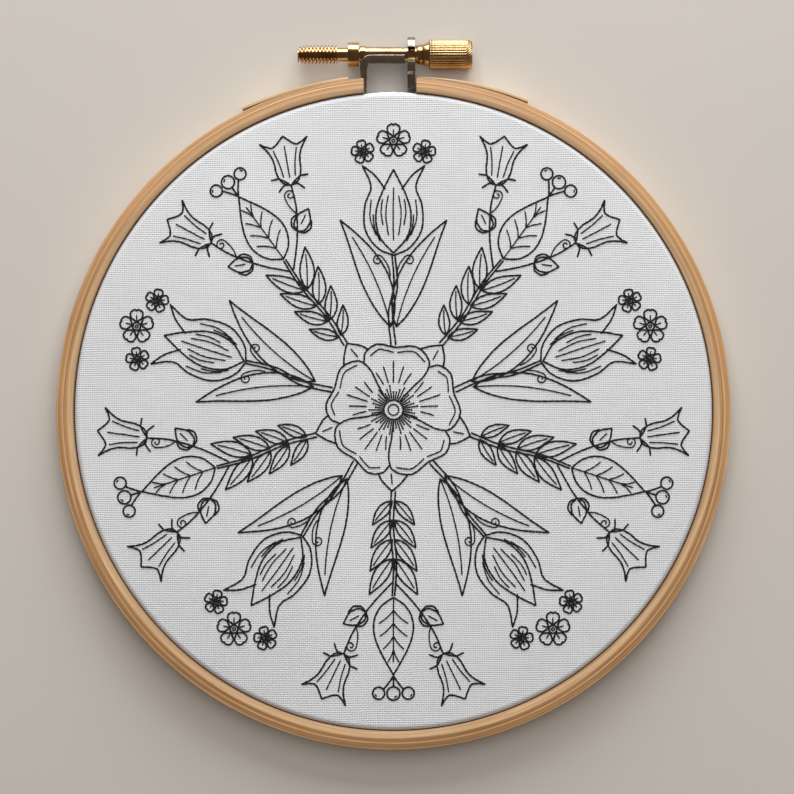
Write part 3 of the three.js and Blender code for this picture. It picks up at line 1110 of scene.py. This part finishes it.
# %% [markdown]
# ## The thumbscrew
# A real thread is a helix. One V of its profile is spun with a small step along the axis
# at every step, which is what `dvec` is for. Two planes then cut the ends square, and the
# tip is drawn in, so that it finds its way into a nut.

# %% Thread of the screw
THREAD_LEFT = SCREW_LOW.x
THREAD_RIGHT = -17.7 * MM
THREAD_CRESTS = 11
THREAD_ROOT = 2.1 * MM
THREAD_CREST = 3.0 * MM
THREAD_LEAD_IN = 2.4 * MM
TIP_SHARE = 0.82
THREAD_PROFILE = [
    # (share of the pitch, radius)
    (0, THREAD_ROOT), (0.10, THREAD_ROOT), (0.36, THREAD_CREST),
    (0.64, THREAD_CREST), (0.90, THREAD_ROOT), (1, THREAD_ROOT),
]
TURNED_STEPS = 64


def on_screw(x, radius):
    return SCREW_LINE + Vector((x, radius, 0))


def thread_helix():
    shape = bmesh.new()
    pitch = (THREAD_RIGHT - THREAD_LEFT) / THREAD_CRESTS
    turns = THREAD_CRESTS + 2
    start = THREAD_LEFT - pitch
    profile = [on_screw(start + share * pitch, r) for share, r in THREAD_PROFILE]
    corners = wire(shape, profile, closed=False)
    bmesh.ops.spin(shape, geom=corners + shape.edges[:], cent=SCREW_LINE, axis=AXIS_X,
                   dvec=(pitch / TURNED_STEPS, 0, 0), angle=math.tau * turns,
                   steps=TURNED_STEPS * turns)
    bmesh.ops.remove_doubles(shape, verts=shape.verts, dist=TOUCHING)
    sliced(shape, (THREAD_LEFT, 0, 0), -AXIS_X, clear_outer=True)
    sliced(shape, (THREAD_RIGHT, 0, 0), AXIS_X, clear_outer=True)
    rims = [e for e in shape.edges if e.is_boundary]
    bmesh.ops.holes_fill(shape, edges=rims, sides=0)
    bmesh.ops.triangulate(shape, faces=[f for f in shape.faces if len(f.verts) > 4])
    for v in shape.verts:
        way_in = min(1, (v.co.x - THREAD_LEFT) / THREAD_LEAD_IN)
        share = TIP_SHARE + (1 - TIP_SHARE) * way_in
        v.co = SCREW_LINE + (v.co - SCREW_LINE) * Vector((1, share, share))
    return shape


piece("screw_thread", thread_helix(), BRASS, body="screw", replaces=["thumbscrew"])

# %% [markdown]
# ## The shaft
# From the thread to the head the screw is turned: a neck, a collar, a rod with a groove,
# and a cone in two steps. A stack of cylinders would have to be joined, so the whole
# profile is one table, spun as on a lathe.

# %% Shaft
SHAFT = [
    # (x, radius and rounding in mm)
    (-17.95, 0, 0), (-17.95, 2.15, 0), (-10.9, 2.15, 0), (-10.6, 2.15, 0), (-10.6, 2.8, 0.2),
    (-8.9, 2.8, 0.2), (-8.9, 2.45, 0), (2.75, 2.45, 0.04), (2.86, 2.28, 0), (3.10, 2.28, 0),
    (3.21, 2.45, 0.04), (7.2, 2.45, 0), (7.2, 2.9, 0.15), (8.9, 3.25, 0.08), (9.02, 3.08, 0),
    (9.2, 3.3, 0.08), (11.5, 4.05, 0.15), (11.5, 1.0, 0), (11.5, 0, 0),
]


def shaft():
    shape = bmesh.new()
    rows = [(on_screw(x * MM, r * MM), rounding * MM) for x, r, rounding in SHAFT]
    section(shape, rows, closed=False)
    return spun(shape, SCREW_LINE, AXIS_X, TURNED_STEPS)


piece("screw_shaft", shaft(), BRASS, body="screw")

# %% [markdown]
# ## The knurled head
# Thirty-six ridges run along the head, and at its outer end the knurling wheel has left
# them slanted. A circle with its points moved in and out is the section. It is extruded
# ring by ring, and the last rings are also turned a little and drawn in. Two insets make
# the shallow recess in the end.

# %% Head
HEAD_RIDGES = 36
HEAD_RADIUS = 4.65 * MM
RIDGE_DEPTH = 0.18 * MM
POINTS_PER_RIDGE = 6
HEAD_SHARP = math.radians(50)
RECESS_RIM = 0.5 * MM
RECESS_SLOPE = 0.06 * MM
RECESS_DEPTH = 0.15 * MM
HEAD_ROWS = [
    # (x in mm, share of the radius, turn in degrees)
    (11.10, 0.900, 0), (11.30, 0.965, 0), (11.55, 1.000, 0), (15.00, 1.000, 0),
    (19.00, 1.000, 0), (22.60, 1.000, 0), (22.95, 1.000, -2.5), (23.40, 0.998, -7.0),
    (23.85, 0.990, -12.0), (24.25, 0.970, -16.5), (24.60, 0.935, -20.5), (24.80, 0.920, -22.5),
]


def ridged_circle(shape):
    sides = HEAD_RIDGES * POINTS_PER_RIDGE
    made = bmesh.ops.create_circle(shape, cap_ends=False, segments=sides, radius=HEAD_RADIUS)
    for v in made["verts"]:
        wave = 0.5 + 0.5 * math.cos(math.atan2(v.co.y, v.co.x) * HEAD_RIDGES)
        v.co.xy *= 1 - RIDGE_DEPTH / HEAD_RADIUS * (1 - wave)
    bmesh.ops.rotate(shape, cent=(0, 0, 0), matrix=Z_TO_X, verts=made["verts"])
    return made["verts"]


def next_ring(shape, edges):
    """Extrudes a ring of edges, and gives the new ring's edges and points."""
    grown = bmesh.ops.extrude_edge_only(shape, edges=edges)["geom"]
    ring = [g for g in grown if isinstance(g, bmesh.types.BMVert)]
    edges = [g for g in grown if isinstance(g, bmesh.types.BMEdge)]
    return [e for e in edges if e.verts[0] in ring and e.verts[1] in ring], ring


def move_on(shape, ring, before, after):
    """Takes a ring from one row's place, size and turn to another's."""
    growth = after[1] / before[1]
    spin = Matrix.Rotation(math.radians(after[2] - before[2]), 3, "X")
    bmesh.ops.translate(shape, vec=((after[0] - before[0]) * MM, 0, 0), verts=ring)
    bmesh.ops.scale(shape, vec=(1, growth, growth), verts=ring)
    bmesh.ops.rotate(shape, cent=(0, 0, 0), matrix=spin, verts=ring)


def head():
    shape = bmesh.new()
    ring = ridged_circle(shape)
    edges = shape.edges[:]
    move_on(shape, ring, (0, 1, 0), HEAD_ROWS[0])
    for before, after in zip(HEAD_ROWS, HEAD_ROWS[1:]):
        edges, ring = next_ring(shape, edges)
        move_on(shape, ring, before, after)
    ends = [e for e in shape.edges if e.is_boundary]
    caps = bmesh.ops.holes_fill(shape, edges=ends, sides=0)["faces"]
    for thickness, depth in ((RECESS_RIM, 0), (RECESS_SLOPE, -RECESS_DEPTH)):
        bmesh.ops.inset_region(shape, faces=caps, thickness=thickness, depth=depth,
                               use_even_offset=True)
    bmesh.ops.translate(shape, vec=SCREW_LINE, verts=shape.verts)
    return shape


piece("screw_head", head(), BRASS, body="screw", sharp=HEAD_SHARP)

# %% [markdown]
# ## The nut
# A plain brass ring with rounded edges bears on the strap's flanges. It is spun like the
# shaft, from a section of four corners.

# %% Nut
NUT_LOW, NUT_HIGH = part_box("nut")
NUT_RADIUS = (NUT_HIGH.y - NUT_LOW.y) / 2
NUT_BORE = 2.45 * MM
NUT_ROUND = 0.22 * MM
NUT_SECTION = [(NUT_LOW.x, NUT_BORE), (NUT_LOW.x, NUT_RADIUS),
               (NUT_HIGH.x, NUT_RADIUS), (NUT_HIGH.x, NUT_BORE)]
shape = bmesh.new()
section(shape, [(on_screw(x, r), NUT_ROUND) for x, r in NUT_SECTION])
spun(shape, SCREW_LINE, AXIS_X, TURNED_STEPS)
piece("brass_nut", shape, BRASS, replaces=["nut"])

# %% [markdown]
# ## Steel
# The brackets are stamped from nickelled steel, which has gone dull: a brownish grey with
# brush marks and a few darker stains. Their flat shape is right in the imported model, but
# stamped edges are soft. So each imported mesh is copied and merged, its flat faces are joined
# again, and its edges are bevelled. The fork's upper prong is also drawn down a little over
# the screw's neck, which it keeps from slipping out. The strap's back flange is bent up a
# little, because the photograph shows nothing of it below the front one.

# %% Steel finish and brackets
def steel_finish():
    steel = Finish("dull_steel", metallic=0.93)
    x, y, z = steel.millimetres(SCREW_LINE)
    brushed = steel.noise(x * 1.2, y * 9, z * 1.2, detail=2, roughness=0.6)
    stain = steel.noise(x * 0.5, y * 0.5, z * 0.5, detail=4).fade(0.42, 0.66)
    base = steel.blend(stain, (0.38, 0.32, 0.26), (0.25, 0.20, 0.15))
    steel.relief(brushed, 0.02 * MM, 0.3)
    return steel.dress(base, 0.15 + brushed * 0.08 + stain * 0.06)


STEEL = steel_finish()
PRONG_FOOT = SCREW_LINE.y + 2.5 * MM
PRONG_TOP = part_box("right_bracket")[1].y
PRONG_OVERHANG = 1.3 * MM
FOOT_TOP = SCREW_LINE.y - 4.9 * MM
WEB_BOTTOM = SCREW_LINE.y - 3.45 * MM
BACK_FLANGE_LIFT = 1.2 * MM
JOINED = math.radians(1)
CRISP = math.radians(40)


def draw_prong_down(shape):
    for v in shape.verts:
        if v.co.y > PRONG_FOOT and v.co.z > SCREW_LINE.z + 0.1 * MM:
            share = (PRONG_TOP - v.co.y) / (PRONG_TOP - PRONG_FOOT)
            v.co.y -= PRONG_OVERHANG * share**2


def bend_back_flange_up(shape):
    for v in shape.verts:
        if v.co.z < SCREW_LINE.z:
            share = (v.co.y - FOOT_TOP) / (WEB_BOTTOM - FOOT_TOP)
            v.co.y += BACK_FLANGE_LIFT * min(1, max(0, share))


def softened(node, edge_round, reshape):
    """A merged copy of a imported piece, reshaped, with flat faces whole and edges bevelled."""
    shape = bmesh.new()
    shape.from_mesh(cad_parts[node].data)
    bmesh.ops.remove_doubles(shape, verts=shape.verts, dist=TOUCHING)
    reshape(shape)
    bmesh.ops.dissolve_limit(shape, angle_limit=JOINED, verts=shape.verts, edges=shape.edges)
    crisp = [e for e in shape.edges if e.calc_face_angle(0) > CRISP]
    rounded(shape, crisp, edge_round, 3, "EDGES", clamp_overlap=True)
    return shape


for name, node, edge_round, reshape in (
    ("steel_strap", "left_bracket", 0.26 * MM, bend_back_flange_up),
    ("steel_fork", "right_bracket", 0.15 * MM, draw_prong_down),
):
    piece(name, softened(node, edge_round, reshape), STEEL, replaces=[node])

# %% [markdown]
# ## The cloth's flat size, and the sizes
# The stretched cloth is a sheet, and its flat width and area are worked out here. The boxes
# of the packed model and of this one are printed one after the other, to show that nothing has
# grown.

# %% Last lines
2 * FLAT_CUT
2 * FLAT_CUT
math.pi * FLAT_CUT**2
LOOKS_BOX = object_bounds()
boxes = {"cad": [list(c) for c in CAD_BOX], "visual": [list(c) for c in LOOKS_BOX]}
for name, (low, high) in boxes.items():
    print(name, [f"{(b - a) / MM:.2f}" for a, b in zip(low, high)], "mm")
